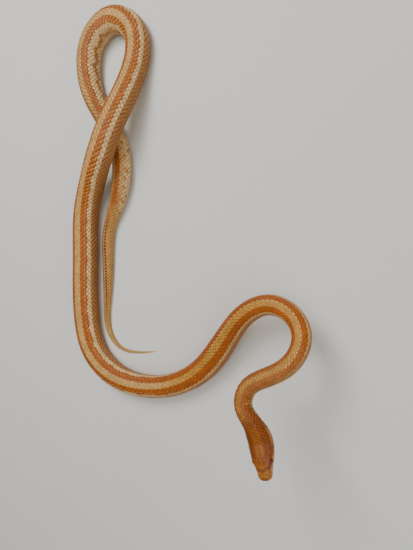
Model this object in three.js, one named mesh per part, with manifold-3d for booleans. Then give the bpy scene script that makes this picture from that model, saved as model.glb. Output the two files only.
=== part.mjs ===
// A corn snake at life size, still, lying in a long loop with its front raised in an arch.
// Millimetres, +Z up, the floor at z = 0, and the snout points to -Y.
import * as THREE from 'three';
import { mergeVertices } from 'three/addons/utils/BufferGeometryUtils.js';
import Module from 'manifold-3d';

const wasm = await Module();
wasm.setup();

// The line of the body from snout to tail tip, one stop a row: x, y, the height of the belly
// over the floor, and the degrees that the back leans to the animal's right.
const ROUTE = [
  [102.4, -203.2, 83.9, 0], [99.6, -190.7, 81.6, 1], [96.6, -178.3, 79.4, 2], [90, -168.2, 76.8, 6],
  [82.7, -159.8, 71.8, 12], [83.8, -148.6, 66.4, 20], [96.2, -140.6, 59.7, 25], [110.5, -132.1, 51.3, 20],
  [117.4, -112, 38.7, 6], [110, -98.6, 32.4, -8], [90.2, -90.6, 25.7, -14], [67.7, -99.4, 18.3, -12],
  [49.5, -118.7, 8.8, -10], [20.4, -153.5, 0, -12], [-10.8, -170.9, 0, -14], [-42.8, -175.1, 0, -14],
  [-72.7, -168.6, 0, -8], [-101.6, -143.2, 0, -2], [-110.4, -112, 0, 0], [-112.2, -38.1, 0, 0],
  [-110.4, -3.2, 1, 2], [-95.4, 27.5, 9.4, 5], [-79, 48.4, 19.9, 6], [-67.6, 73.9, 19.9, 6],
  [-58.1, 104.4, 11, 3], [-51.2, 137.2, 1, 2], [-49.9, 168.6, 0, 4], [-76.3, 190.4, 0, -6],
  [-101.5, 176.1, 0, -13], [-108.5, 150.7, 0, -16], [-103.3, 120.5, 0, -15], [-71.9, 63.2, 0, -24],
  [-68.7, 29.8, 0, -28], [-75.2, 6.1, 0, -28], [-84.5, -14.4, 0, -18], [-88.1, -53, 0, -12],
  [-90, -96.4, 0, -6], [-88.8, -122, 0, -3], [-75.2, -140.7, 0, 0], [-56.8, -144.7, 0, 0],
  [-32.7, -142.2, 0, 0],
];

// The body's width by the distance from the snout.
const BODY_WIDTHS = [
  [42, 13], [56, 13.4], [80, 14.2], [125, 15.3], [165, 17.2], [205, 20], [245, 22.8],
  [300, 21.4], [380, 24.2], [460, 25.8], [620, 25.6], [740, 24.8], [780, 26], [820, 25],
  [880, 21.3], [930, 20.3], [965, 19], [990, 15.6], [1005, 13.2], [1030, 12.2], [1060, 10.5],
  [1090, 8.1], [1115, 6.1], [1130, 5], [1140, 3.9], [1160, 2.5], [1181, 1],
];

// The section of the body is a loaf, in shares of its width: a round back and a flatter belly.
const BACK_HEIGHT = 0.52;
const BELLY_DEPTH = 0.4;
const BACK_POWER = 2.1;
const BELLY_POWER = 2.7;
const BELLY_PRESS = 0.5;

// The head by the distance from the snout: its width, its top over the axis, its chin under
// it, and the level of its widest point.
const HEAD_SECTIONS = [
  [4, 9.8, 3.5, 3.5, -0.9], [8, 11.6, 4.6, 4.2, -1], [13, 14.5, 5.5, 4.9, -1.1],
  [18, 16.6, 5.9, 5.4, -1.2], [23, 17.5, 6.1, 5.8, -1.3], [27, 17.6, 6.3, 5.9, -1.2],
  [31, 16.9, 6.4, 5.7, -0.9], [36, 14.5, 6.6, 5.3, -0.4], [42, 13, 6.76, 5.2, 0],
];
const HEAD_TOP_POWER = 2.5;
const HEAD_CHIN_POWER = 2.2;
const HEAD_LENGTH = 33;
const NECK_START = 42;
const SNOUT = { rounding: 4.4, power: 2.3, level: -0.5, chinSetback: 0.8 };

// Forms on the head: how far along, how high over the axis, how wide and how deep.
const EYE = { along: 12.9, aside: 5, up: 1.7, radius: 2.3 };
const BROW = { along: 12.7, up: 4.2, reach: 3.6, spread: 0.9, rise: 0.45 };
const ORBIT = { along: 12.9, up: 1.6, reach: 2.8, spread: 2, rise: -0.5 };
const LOREAL = { along: 7.8, up: 1.1, reach: 2.4, spread: 1.3, rise: -0.4 };
const LIP = { along: 13, up: -0.8, reach: 11, spread: 0.8, rise: 0.25 };
const NOSTRIL = { along: 2.9, up: 0.6, radius: 0.55 };

// The line of the mouth from the side, as distance from the snout and height over the axis,
// and the end of the jaw behind the corner of the mouth.
const MOUTH_LINE = [[-3, -1.3], [0, -1.3], [5, -1.9], [11, -1.7], [17, -1.9], [23, -2.6], [27, -1.9]];
const JAW_END = [29.5, -9];
const MOUTH_REACH = 13;

const GAP = 0.3;
const HEAD_SIDES = 32;
const HEAD_STEP = 1.2;
const SNOUT_RINGS = 7;
const BODY_SIDES = 20;
const BODY_STEP = 7;
const TAIL_SIDES = 14;
const TAIL_STEP = 5.5;
const ROUND_SIDES = 20;

// Each length of the animal behind the head, with the distance from the snout where it ends.
const BODY_ENDS = [175, 262, 360, 460, 560, 660, 740, 810, 900, 985];
const NECK_END = 100;
const TAIL_ENDS = [1085, Infinity];

const FINISHES = {
  head: { color: '#b9702f', roughness: 0.5, metalness: 0 },
  body: { color: '#c4752f', roughness: 0.45, metalness: 0 },
  tail: { color: '#d9a558', roughness: 0.45, metalness: 0 },
  eye: { color: '#5a140c', roughness: 0.12, metalness: 0 },
};

const { clamp, lerp, degToRad } = THREE.MathUtils;

// A natural cubic spline through rows of numbers, by the distance between their first three.
function naturalSpline(rows) {
  const last = rows.length - 1;
  const knots = [0];
  for (let i = 1; i <= last; i += 1) {
    const [a, b] = [rows[i - 1], rows[i]];
    knots.push(knots[i - 1] + Math.hypot(b[0] - a[0], b[1] - a[1], b[2] - a[2]));
  }
  const gaps = knots.slice(1).map((knot, i) => knot - knots[i]);
  const bends = rows.map((row) => row.map(() => 0));
  const shares = rows.map(() => 0);
  for (let i = 1; i < last; i += 1) {
    const pivot = 2 * (gaps[i - 1] + gaps[i]) - gaps[i - 1] * shares[i - 1];
    shares[i] = gaps[i] / pivot;
    bends[i] = rows[i].map((value, c) => {
      const turn = (rows[i + 1][c] - value) / gaps[i] - (value - rows[i - 1][c]) / gaps[i - 1];
      return (6 * turn - gaps[i - 1] * bends[i - 1][c]) / pivot;
    });
  }
  for (let i = last - 1; i > 0; i -= 1) {
    bends[i] = bends[i].map((value, c) => value - shares[i] * bends[i + 1][c]);
  }
  const at = (u) => {
    let i = 0;
    while (i < last - 1 && u > knots[i + 1]) i += 1;
    const [h, a, b] = [gaps[i], knots[i + 1] - u, u - knots[i]];
    return rows[i].map((value, c) => (
      (bends[i][c] * a ** 3 + bends[i + 1][c] * b ** 3) / (6 * h)
      + (value / h - (bends[i][c] * h) / 6) * a
      + (rows[i + 1][c] / h - (bends[i + 1][c] * h) / 6) * b
    ));
  };
  return { at, end: knots[last] };
}

// A value read smoothly off rows of [place, value, value ...], never past its neighbours.
function readOff(rows, place, column) {
  const last = rows.length - 1;
  const slope = (i) => (rows[i + 1][column] - rows[i][column]) / (rows[i + 1][0] - rows[i][0]);
  const tangent = (i) => {
    if (i === 0) return slope(0);
    if (i === last) return slope(last - 1);
    const [before, after] = [slope(i - 1), slope(i)];
    return before * after > 0 ? (2 * before * after) / (before + after) : 0;
  };
  const x = clamp(place, rows[0][0], rows[last][0]);
  let i = 0;
  while (i < last - 1 && x > rows[i + 1][0]) i += 1;
  const h = rows[i + 1][0] - rows[i][0];
  const t = (x - rows[i][0]) / h;
  const [startSlope, endSlope] = [h * tangent(i), h * tangent(i + 1)];
  const rise = rows[i + 1][column] - rows[i][column];
  const squareTerm = 3 * rise - 2 * startSlope - endSlope;
  const cubeTerm = startSlope + endSlope - 2 * rise;
  return rows[i][column] + t * startSlope + t ** 2 * squareTerm + t ** 3 * cubeTerm;
}

// The spine: the line of the body, measured out so that a distance from the snout finds it.
const spine = naturalSpline(ROUTE);
const PACES = 6000;
const marks = [0];
for (let i = 1, was = spine.at(0); i <= PACES; i += 1) {
  const now = spine.at((i / PACES) * spine.end);
  marks.push(marks[i - 1] + Math.hypot(now[0] - was[0], now[1] - was[1], now[2] - was[2]));
  was = now;
}
const TOTAL_LENGTH = marks[PACES];

function parameterAt(distance) {
  let [low, high] = [0, PACES];
  while (high - low > 1) {
    const middle = (low + high) >> 1;
    if (marks[middle] <= distance) low = middle;
    else high = middle;
  }
  const share = (distance - marks[low]) / (marks[high] - marks[low]);
  return ((low + share) / PACES) * spine.end;
}

// The centre, the left and the up direction of the section at a distance from the snout.
function frameAt(s) {
  const u = parameterAt(clamp(s, 0, TOTAL_LENGTH));
  const centreAt = (v) => {
    const [x, y, lift] = spine.at(clamp(v, 0, spine.end));
    return new THREE.Vector3(x, y, Math.max(lift, 0));
  };
  const forward = centreAt(u - GAP).sub(centreAt(u + GAP)).normalize();
  const beside = new THREE.Vector3(0, 0, 1).cross(forward).normalize();
  const over = forward.clone().cross(beside);
  const lean = degToRad(spine.at(u)[3]);
  const centre = centreAt(u);
  centre.z += BELLY_DEPTH * readOff(BODY_WIDTHS, s, 1) - BELLY_PRESS;
  return {
    centre,
    left: beside.clone().multiplyScalar(Math.cos(lean)).addScaledVector(over, Math.sin(lean)),
    up: over.clone().multiplyScalar(Math.cos(lean)).addScaledVector(beside, -Math.sin(lean)),
  };
}

// A point beside and over the axis of the section at s, pressed flat where it meets the floor.
function pointAt(s, aside, up, frame = frameAt(s)) {
  const point = frame.centre.clone().addScaledVector(frame.left, aside).addScaledVector(frame.up, up);
  point.z = Math.max(point.z, 0);
  return point;
}

// The section's half width, its reach over and under its widest level, and its powers.
function sectionAt(s, below) {
  const width = readOff(BODY_WIDTHS, s, 1);
  if (s >= NECK_START) {
    const heights = { top: BACK_HEIGHT * width, bottom: BELLY_DEPTH * width, level: 0 };
    return { half: width / 2, ...heights, topPower: BACK_POWER, bottomPower: BELLY_POWER };
  }
  const [half, top, bottom, level] = [
    readOff(HEAD_SECTIONS, s, 1) / 2, readOff(HEAD_SECTIONS, s, 2),
    readOff(HEAD_SECTIONS, s, 3), readOff(HEAD_SECTIONS, s, 4),
  ];
  const back = Math.max(s - SNOUT.chinSetback * below, s * 0.1);
  const share = clamp(back / SNOUT.rounding, 0, 1);
  const fill = (1 - (1 - share) ** SNOUT.power) ** (1 / SNOUT.power);
  const neck = THREE.MathUtils.smoothstep(s, HEAD_LENGTH - 5, NECK_START);
  return {
    half: half * fill,
    top: lerp(SNOUT.level, top, fill),
    bottom: -lerp(SNOUT.level, -bottom, fill),
    level: lerp(SNOUT.level, level, fill),
    topPower: lerp(HEAD_TOP_POWER, BACK_POWER, neck),
    bottomPower: lerp(HEAD_CHIN_POWER, BELLY_POWER, neck),
  };
}

// How far a form on the head stands out at a place on its side.
function swell(form, s, up) {
  const along = (s - form.along) / form.reach;
  const over = (up - form.up) / form.spread;
  return form.rise * Math.exp(-(along ** 2) - over ** 2);
}

// The skin at a distance from the snout and an angle round from the back to the left.
function skinPoint(s, angle, frame) {
  const [sin, cos] = [Math.sin(angle), Math.cos(angle)];
  const form = sectionAt(s, clamp(-2 * cos, 0, 1));
  const height = cos >= 0 ? form.top - form.level : form.bottom + form.level;
  const power = cos >= 0 ? form.topPower : form.bottomPower;
  const spread = Math.abs(sin / form.half) ** power + Math.abs(cos / height) ** power;
  let reach = spread ** (-1 / power);
  if (s < HEAD_LENGTH) {
    const up = form.level + reach * cos;
    const side = Math.abs(sin);
    reach += side * [BROW, ORBIT, LOREAL, LIP].reduce((sum, item) => sum + swell(item, s, up), 0);
  }
  return pointAt(s, reach * sin, form.level + reach * cos, frame);
}

function geometryOf(points, triangles) {
  const geometry = new THREE.BufferGeometry().setFromPoints(points);
  geometry.setIndex(triangles.flat());
  return geometry;
}

// A closed length of the skin through sections at the given distances, with flat ends.
function loft(distances, sides) {
  const points = [];
  const triangles = [];
  distances.forEach((s) => {
    const frame = frameAt(s);
    for (let j = 0; j < sides; j += 1) points.push(skinPoint(s, (2 * Math.PI * j) / sides, frame));
  });
  const lastRing = distances.length - 1;
  for (let i = 0; i < lastRing; i += 1) {
    for (let j = 0; j < sides; j += 1) {
      const k = (j + 1) % sides;
      const [a, b] = [i * sides + j, i * sides + k];
      triangles.push([a, b, a + sides], [b, b + sides, a + sides]);
    }
  }
  [distances[0], distances[lastRing]].forEach((s, end) => {
    const middle = points.push(pointAt(s, 0, s < NECK_START ? SNOUT.level : 0)) - 1;
    const first = end * lastRing * sides;
    for (let j = 0; j < sides; j += 1) {
      const [a, b] = [first + j, first + ((j + 1) % sides)];
      triangles.push(end ? [middle, a, b] : [middle, b, a]);
    }
  });
  return geometryOf(points, triangles);
}

// Distances from one place to another in even steps no longer than the given one.
function evenly(from, to, step) {
  const count = Math.ceil((to - from) / step);
  return Array.from({ length: count + 1 }, (_, i) => lerp(from, to, i / count));
}

const solidOf = (geometry) => new wasm.Manifold(new wasm.Mesh({
  numProp: 3,
  vertProperties: Float32Array.from(geometry.attributes.position.array),
  triVerts: Uint32Array.from(geometry.index.array),
}));

function geometryOfSolid(solid) {
  const { vertProperties, triVerts } = solid.getMesh();
  const geometry = new THREE.BufferGeometry();
  geometry.setAttribute('position', new THREE.BufferAttribute(Float32Array.from(vertProperties), 3));
  geometry.setIndex(Array.from(triVerts));
  return geometry;
}

function ball(radius, centre) {
  const geometry = new THREE.SphereGeometry(radius, ROUND_SIDES, ROUND_SIDES / 2 + 2);
  geometry.deleteAttribute('normal');
  geometry.deleteAttribute('uv');
  return mergeVertices(geometry.translate(...centre.toArray()));
}

const eyePlace = (side) => pointAt(EYE.along, side * EYE.aside, EYE.up);

function nostrilPlace(side) {
  const form = sectionAt(NOSTRIL.along, 0);
  return pointAt(NOSTRIL.along, side * form.half * 0.93, NOSTRIL.up);
}

// The thin sheet of space between the lips, which turns down behind the corner of the mouth.
function mouthGap() {
  const corner = MOUTH_LINE[MOUTH_LINE.length - 1];
  const line = evenly(MOUTH_LINE[0][0], corner[0], 1.5).map((s) => [s, readOff(MOUTH_LINE, s, 1)]);
  line.push(JAW_END);
  const frame = frameAt(HEAD_LENGTH / 2);
  const points = [];
  line.forEach(([s, up], i) => {
    const [before, after] = [line[Math.max(i - 1, 0)], line[Math.min(i + 1, line.length - 1)]];
    const run = new THREE.Vector2(after[0] - before[0], after[1] - before[1]).normalize();
    [[-1, -1], [1, -1], [1, 1], [-1, 1]].forEach(([side, face]) => {
      const [along, over] = [s - (face * run.y * GAP) / 2, up + (face * run.x * GAP) / 2];
      const place = frameAt(0).centre.clone();
      place.addScaledVector(frame.left.clone().cross(frame.up), -along);
      points.push(place.addScaledVector(frame.left, side * MOUTH_REACH).addScaledVector(frame.up, over));
    });
  });
  const triangles = [];
  for (let i = 0; i < line.length - 1; i += 1) {
    for (let j = 0; j < 4; j += 1) {
      const [a, b] = [i * 4 + j, i * 4 + ((j + 1) % 4)];
      triangles.push([a, a + 4, b], [b, a + 4, b + 4]);
    }
  }
  const end = (line.length - 1) * 4;
  triangles.push([0, 1, 2], [0, 2, 3], [end, end + 2, end + 1], [end, end + 3, end + 2]);
  return geometryOf(points, triangles);
}

// The head and its lower jaw: one form, hollowed for the eyes and nostrils, cut at the mouth.
function headPieces() {
  const snout = Array.from({ length: SNOUT_RINGS }, (_, i) => (
    SNOUT.rounding * (1 - Math.cos(((i + 1) / SNOUT_RINGS) * (Math.PI / 2)))
  ));
  const rest = evenly(SNOUT.rounding, HEAD_LENGTH - GAP / 2, HEAD_STEP).slice(1);
  let whole = solidOf(loft([...snout, ...rest], HEAD_SIDES));
  [1, -1].forEach((side) => {
    whole = whole.subtract(solidOf(ball(EYE.radius + GAP, eyePlace(side))));
    whole = whole.subtract(solidOf(ball(NOSTRIL.radius, nostrilPlace(side))));
  });
  const pieces = whole.subtract(solidOf(mouthGap())).decompose();
  return pieces.sort((a, b) => b.volume() - a.volume()).slice(0, 2).map(geometryOfSolid);
}

const snake = new THREE.Group();

function addPiece(name, geometry, finish) {
  const mesh = new THREE.Mesh(geometry, new THREE.MeshStandardMaterial(FINISHES[finish]));
  mesh.name = name;
  snake.add(mesh);
}

function addLengths(names, start, ends, sides, step, finish) {
  ends.forEach((end, i) => {
    const from = (i ? ends[i - 1] : start) + GAP / 2;
    const to = Math.min(end - GAP / 2, TOTAL_LENGTH);
    addPiece(names[i], loft(evenly(from, to, step), sides), finish);
  });
}

const [skull, jaw] = headPieces();
addPiece('head', skull, 'head');
addPiece('lower_jaw', jaw, 'head');
addPiece('eye_left', ball(EYE.radius, eyePlace(1)), 'eye');
addPiece('eye_right', ball(EYE.radius, eyePlace(-1)), 'eye');
addLengths(['neck'], HEAD_LENGTH, [NECK_END], BODY_SIDES, BODY_STEP / 2, 'body');
addLengths(BODY_ENDS.map((_, i) => `body_${i + 1}`), NECK_END, BODY_ENDS, BODY_SIDES, BODY_STEP, 'body');
addLengths(['tail_1', 'tail_2'], BODY_ENDS[BODY_ENDS.length - 1], TAIL_ENDS, TAIL_SIDES, TAIL_STEP, 'tail');

export default snake;
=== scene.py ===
"""The looks of a life-size corn snake: one skin, overlapping scales, belly plates and eyes."""

import math

import bpy
import numpy as np
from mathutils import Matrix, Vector
from mathutils.kdtree import KDTree


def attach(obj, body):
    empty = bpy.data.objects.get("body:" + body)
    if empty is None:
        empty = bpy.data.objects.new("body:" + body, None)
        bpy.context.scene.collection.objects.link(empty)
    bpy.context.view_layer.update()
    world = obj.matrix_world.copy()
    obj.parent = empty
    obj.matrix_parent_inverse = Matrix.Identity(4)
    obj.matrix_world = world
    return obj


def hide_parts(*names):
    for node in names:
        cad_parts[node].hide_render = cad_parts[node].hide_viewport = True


bl_info = {
    "name": "Corn Snake",
    "version": (1, 0, 0),
    "blender": (4, 5, 0),
    "location": "View3D > Sidebar > Corn Snake",
    "description": "Dresses the solids of a corn snake in skin, scales, belly plates and eyes",
    "category": "Object",
}

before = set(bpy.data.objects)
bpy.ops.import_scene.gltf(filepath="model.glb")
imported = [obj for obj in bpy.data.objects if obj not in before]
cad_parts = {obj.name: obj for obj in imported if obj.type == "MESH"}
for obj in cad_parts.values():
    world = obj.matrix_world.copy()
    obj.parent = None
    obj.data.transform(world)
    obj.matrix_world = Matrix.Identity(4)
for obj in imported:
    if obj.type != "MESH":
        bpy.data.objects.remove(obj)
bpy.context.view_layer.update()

MM = 0.001
FLESH = ["head", "lower_jaw", "neck", *[f"body_{i}" for i in range(1, 11)], "tail_1", "tail_2"]

# The line of the body from snout to tail tip in millimetres, as the solids have it: x, y, the
# height of the belly over the floor, and the degrees that the back leans to the right.
ROUTE = np.array([
    [102.4, -203.2, 83.9, 0], [99.6, -190.7, 81.6, 1], [96.6, -178.3, 79.4, 2], [90, -168.2, 76.8, 6],
    [82.7, -159.8, 71.8, 12], [83.8, -148.6, 66.4, 20], [96.2, -140.6, 59.7, 25], [110.5, -132.1, 51.3, 20],
    [117.4, -112, 38.7, 6], [110, -98.6, 32.4, -8], [90.2, -90.6, 25.7, -14], [67.7, -99.4, 18.3, -12],
    [49.5, -118.7, 8.8, -10], [20.4, -153.5, 0, -12], [-10.8, -170.9, 0, -14], [-42.8, -175.1, 0, -14],
    [-72.7, -168.6, 0, -8], [-101.6, -143.2, 0, -2], [-110.4, -112, 0, 0], [-112.2, -38.1, 0, 0],
    [-110.4, -3.2, 1, 2], [-95.4, 27.5, 9.4, 5], [-79, 48.4, 19.9, 6], [-67.6, 73.9, 19.9, 6],
    [-58.1, 104.4, 11, 3], [-51.2, 137.2, 1, 2], [-49.9, 168.6, 0, 4], [-76.3, 190.4, 0, -6],
    [-101.5, 176.1, 0, -13], [-108.5, 150.7, 0, -16], [-103.3, 120.5, 0, -15], [-71.9, 63.2, 0, -24],
    [-68.7, 29.8, 0, -28], [-75.2, 6.1, 0, -28], [-84.5, -14.4, 0, -18], [-88.1, -53, 0, -12],
    [-90, -96.4, 0, -6], [-88.8, -122, 0, -3], [-75.2, -140.7, 0, 0], [-56.8, -144.7, 0, 0],
    [-32.7, -142.2, 0, 0],
], float)
BODY_WIDTHS = np.array([
    [42, 13], [56, 13.4], [80, 14.2], [125, 15.3], [165, 17.2], [205, 20], [245, 22.8],
    [300, 21.4], [380, 24.2], [460, 25.8], [620, 25.6], [740, 24.8], [780, 26], [820, 25],
    [880, 21.3], [930, 20.3], [965, 19], [990, 15.6], [1005, 13.2], [1030, 12.2], [1060, 10.5],
    [1090, 8.1], [1115, 6.1], [1130, 5], [1140, 3.9], [1160, 2.5], [1181, 1],
])
BACK_HEIGHT = 0.52
BELLY_DEPTH = 0.4
BACK_POWER = 2.1
BELLY_POWER = 2.7
BELLY_PRESS = 0.5

# The head: distance from the snout, width, top over the axis, chin under it, widest level.
HEAD_SECTIONS = np.array([
    [4, 9.8, 3.5, 3.5, -0.9], [8, 11.6, 4.6, 4.2, -1], [13, 14.5, 5.5, 4.9, -1.1],
    [18, 16.6, 5.9, 5.4, -1.2], [23, 17.5, 6.1, 5.8, -1.3], [27, 17.6, 6.3, 5.9, -1.2],
    [31, 16.9, 6.4, 5.7, -0.9], [36, 14.5, 6.6, 5.3, -0.4], [42, 13, 6.76, 5.2, 0],
])
HEAD_TOP_POWER = 2.5
HEAD_CHIN_POWER = 2.2
HEAD_LENGTH = 33
NECK_START = 42
SNOUT_ROUNDING, SNOUT_POWER, SNOUT_LEVEL, CHIN_SETBACK = 4.4, 2.3, -0.5, 0.8

# Forms on the side of the head: distance from the snout, height, reach, spread and rise.
BROW = (12.7, 4.2, 3.6, 0.9, 0.45)
ORBIT = (12.9, 1.6, 2.8, 2, -0.5)
LOREAL = (7.8, 1.1, 2.4, 1.3, -0.4)
LIP = (13, -0.8, 11, 0.8, 0.25)
EYE_ALONG, EYE_ASIDE, EYE_UP, EYE_RADIUS = 12.9, 5, 1.7, 2.3
NOSTRIL_ALONG, NOSTRIL_UP, NOSTRIL_RADIUS, NOSTRIL_DEPTH = 2.9, 0.6, 0.5, 0.7
MOUTH_LINE = [(0, -1.3), (5, -1.9), (11, -1.7), (17, -1.9), (23, -2.6), (27, -1.9)]

# The seams between the head plates, seen from above as distance from the snout and aside.
TOP_SEAMS = [
    [(1.7, 0), (1.3, 1.4), (0.7, 2.6)],
    [(1.7, 0), (8.2, 0)],
    [(4.5, 0), (4.1, 2.4), (3.7, 3.6)],
    [(8, 0), (8.3, 1.9), (8.8, 3.3), (9.9, 5)],
    [(8.3, 1.9), (12.2, 1.8), (14.1, 1.4), (16, 0)],
    [(14.2, 1.4), (15, 3.3), (15.3, 5)],
    [(16, 0), (23.3, 0)],
    [(15.2, 4.2), (17.8, 5), (21.4, 4.7), (23.8, 2.7), (23.3, 0)],
]
# The same seen from the side, as distance from the snout and height over the axis.
SIDE_SEAMS = [
    [(1.2, 0.1), (5, -0.2), (8.6, -0.3), (11, -0.6), (14.8, -0.6), (19, -0.4), (23, -1), (27, -1)],
    [(3.2, -0.1), (3.2, 2.5)],
    [(5.5, -0.2), (5.7, 2.9)],
    [(5.6, 1.9), (8.5, 2.1)],
    [(8.4, -0.3), (8.7, 3.4)],
    [(15.5, 1.6), (17, 1.6)],
    [(16.7, -0.4), (17.2, 1.6), (16.9, 4)],
    [(17.2, 1.6), (20.4, 1.8)],
    [(20, -0.5), (20.7, 1.2), (20.4, 4)],
    [(20.7, 0.8), (24.2, 0.5)],
    [(20.5, 2.6), (24.2, 2.6)],
    [(1, -2.7), (6, -3.4), (14, -3.8), (22, -4.4), (27, -3.8)],
]
UPPER_LIP_SEAMS = [3.2, 5.5, 7.8, 10.3, 12.9, 15.6, 19, 23]
LOWER_LIP_SEAMS = [2.2, 4.2, 6.3, 8.5, 10.9, 13.4, 16, 18.8, 21.8, 24.6]
# The same seen from below, as distance from the snout and aside.
CHIN_SEAMS = [
    [(1.6, 0), (14, 0)],
    [(2.6, 0), (2.4, 1.6)],
    [(2.4, 1.6), (8, 2.8), (13.5, 2.6), (14, 0)],
    [(8, 0), (8, 2.8)],
]
SEAM_WIDTH, SEAM_DEPTH, PLATE_DOME, PLATE_REACH = 0.2, 0.2, 0.14, 0.9
MOUTH_WIDTH, MOUTH_DEPTH = 0.3, 0.6
CROWN_END, LIP_END, CHIN_END = 23.8, 27.4, 14.4

# How the scales are laid, by the distance from the snout: the rows from the middle of the back
# to the belly's edge, the length of one belly plate, and the edge as a share of the half girth.
HALF_ROWS = np.array([
    [0, 9.4], [20, 9.4], [45, 10.6], [110, 12.2], [180, 13.2], [760, 13.2], [860, 11.4],
    [960, 9.6], [990, 8.2], [1040, 6.2], [1085, 4.4], [1130, 3.2], [1175, 2.2],
])
PITCHES = np.array([
    [0, 1.7], [14, 1.7], [24, 2], [45, 2.7], [110, 3.4], [200, 4.1], [300, 4.5], [800, 4.5],
    [960, 4], [1000, 3.5], [1085, 3], [1150, 2.4], [1175, 2],
])
BELLY_EDGE = np.array([[0, 0.74], [940, 0.74], [1000, 0.7], [1175, 0.68]])
VENT = 985
UNDERSIDE = 0.85
THROAT_START = 24
GIRTH_SIDES = 192
BAKE_PATCH = 0.003
HEAD_BAND = 42
PLAIN_BANDS = 3
SEED = 7

# Stretches over which the pattern changes, as distances from the snout.
HEAD_FADE, NECK_FADE, NAPE_FADE, FRONT_FADE = (32, 46), (45, 130), (110, 180), (270, 350)
LOOP_START, WIDE_START, REAR_START = (540, 620), (720, 790), (860, 930)
TAIL_START, TAIL_END_START = (980, 1005), (1085, 1150)
NOTCH_START, SPOTS_START, SPOTS_END = (860, 900), (996, 1012), (1070, 1125)
# Marks over the root of the tail: middle and spread along it, then middle and spread in rows.
ROOT_BLOTCH, ROOT_DASH = (981, 8, 3, 2.4), (1003, 11, 1.6, 1.1)
# The arch with its row of pale dots, partly pale scale tips and partly painted glints: its middle,
# half its length and how softly it ends.
ARCH = (165, 62, 25)
# Painted shade where each scale comes out from under the next: how dark it is at the neck, what
# the front and the loop add, and over which share of a scale's length the painted shade ends.
PAINTED_SHADE_NECK, PAINTED_SHADE_FRONT, PAINTED_SHADE_LOOP = 0.3, 0.3, 0.4
PAINTED_SHADE_FRONT_START, PAINTED_SHADE_LOOP_START, PAINTED_SHADE_END = (80, 300), (470, 620), (0.34, 0.62)

# The camera, in metres and degrees, and the sides of the picture that its view is set for.
CAMERA_PLACE, CAMERA_TILT, SENSOR_SIDE, PICTURE_SIDES = (0.1752, -0.0668, 0.355), 23.5, 36, (413, 550)

# The sockets of a mix node when it mixes colours.
MIX_SHARE, MIX_UNDER, MIX_OVER, MIX_COLOUR = 0, 6, 7, 2

# The masks that skin and scales carry for their colour, in the order in which they are laid on.
MASKS = ("crown", "gold", "straw", "orange", "cream", "fleck", "belly", "lip", "mark", "dark")


def linear(hex_colour):
    """An sRGB hex colour as linear red, green and blue."""
    channels = [int(hex_colour[i:i + 2], 16) / 255 for i in (1, 3, 5)]
    return [c / 12.92 if c <= 0.04045 else ((c + 0.055) / 1.055) ** 2.4 for c in channels]


def natural_spline(rows):
    """A natural cubic spline through rows of numbers, by the distance between their places."""
    steps = np.linalg.norm(np.diff(rows[:, :3], axis=0), axis=1)
    knots = np.concatenate([[0], np.cumsum(steps)])
    count = len(rows)
    system = np.eye(count)
    turns = np.zeros_like(rows)
    for i in range(1, count - 1):
        system[i, i - 1:i + 2] = steps[i - 1], 2 * (steps[i - 1] + steps[i]), steps[i]
        turns[i] = 6 * ((rows[i + 1] - rows[i]) / steps[i] - (rows[i] - rows[i - 1]) / steps[i - 1])
    bends = np.linalg.solve(system, turns)

    def at(u):
        i = np.clip(np.searchsorted(knots, u, side="right") - 1, 0, count - 2)
        h = steps[i][:, None]
        a = (knots[i + 1] - u)[:, None]
        b = (u - knots[i])[:, None]
        cubic = (bends[i] * a ** 3 + bends[i + 1] * b ** 3) / (6 * h)
        start = (rows[i] / h - bends[i] * h / 6) * a
        end = (rows[i + 1] / h - bends[i + 1] * h / 6) * b
        return cubic + start + end

    return at, knots[-1]


def read_off(rows, place, column=1):
    """A value read smoothly off rows of [place, value ...], never past its neighbours."""
    x = rows[:, 0]
    y = rows[:, column]
    slopes = np.diff(y) / np.diff(x)
    before, after = slopes[:-1], slopes[1:]
    total = np.where(before * after > 0, before + after, 1)
    inner = np.where(before * after > 0, 2 * before * after / total, 0)
    tangents = np.concatenate([[slopes[0]], inner, [slopes[-1]]])
    place = np.clip(np.asarray(place, float), x[0], x[-1])
    i = np.clip(np.searchsorted(x, place, side="right") - 1, 0, len(x) - 2)
    h = x[i + 1] - x[i]
    t = (place - x[i]) / h
    start_slope, end_slope = h * tangents[i], h * tangents[i + 1]
    rise = y[i + 1] - y[i]
    square = 3 * rise - 2 * start_slope - end_slope
    cube = start_slope + end_slope - 2 * rise
    return y[i] + t * start_slope + t ** 2 * square + t ** 3 * cube


def smoothstep(x, low, high):
    """0 below low, 1 above high, and smooth between them."""
    t = np.clip((x - low) / (high - low), 0, 1)
    return t * t * (3 - 2 * t)


PACES = 6000
SPINE, SPINE_END = natural_spline(ROUTE)
PACE_MARKS = np.linspace(0, SPINE_END, PACES + 1)
PACE_LENGTHS = np.linalg.norm(np.diff(SPINE(PACE_MARKS)[:, :3], axis=0), axis=1)
DISTANCES = np.concatenate([[0], np.cumsum(PACE_LENGTHS)])
TOTAL = DISTANCES[-1]


def axis_frames(s):
    """Centre, right and up of the sections at distances from the snout, in millimetres."""
    u = np.interp(s, DISTANCES, PACE_MARKS)
    gap = 0.3

    def centre_at(v):
        place = SPINE(np.clip(v, 0, SPINE_END))[:, :3]
        place[:, 2] = np.maximum(place[:, 2], 0)
        return place

    forward = centre_at(u - gap) - centre_at(u + gap)
    forward /= np.linalg.norm(forward, axis=1)[:, None]
    left = np.cross([0, 0, 1], forward)
    left /= np.linalg.norm(left, axis=1)[:, None]
    over = np.cross(forward, left)
    lean = np.radians(SPINE(u)[:, 3])[:, None]
    centre = centre_at(u)
    centre[:, 2] += BELLY_DEPTH * read_off(BODY_WIDTHS, s) - BELLY_PRESS
    right = -(left * np.cos(lean) + over * np.sin(lean))
    up = over * np.cos(lean) - left * np.sin(lean)
    return centre, right, up


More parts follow.
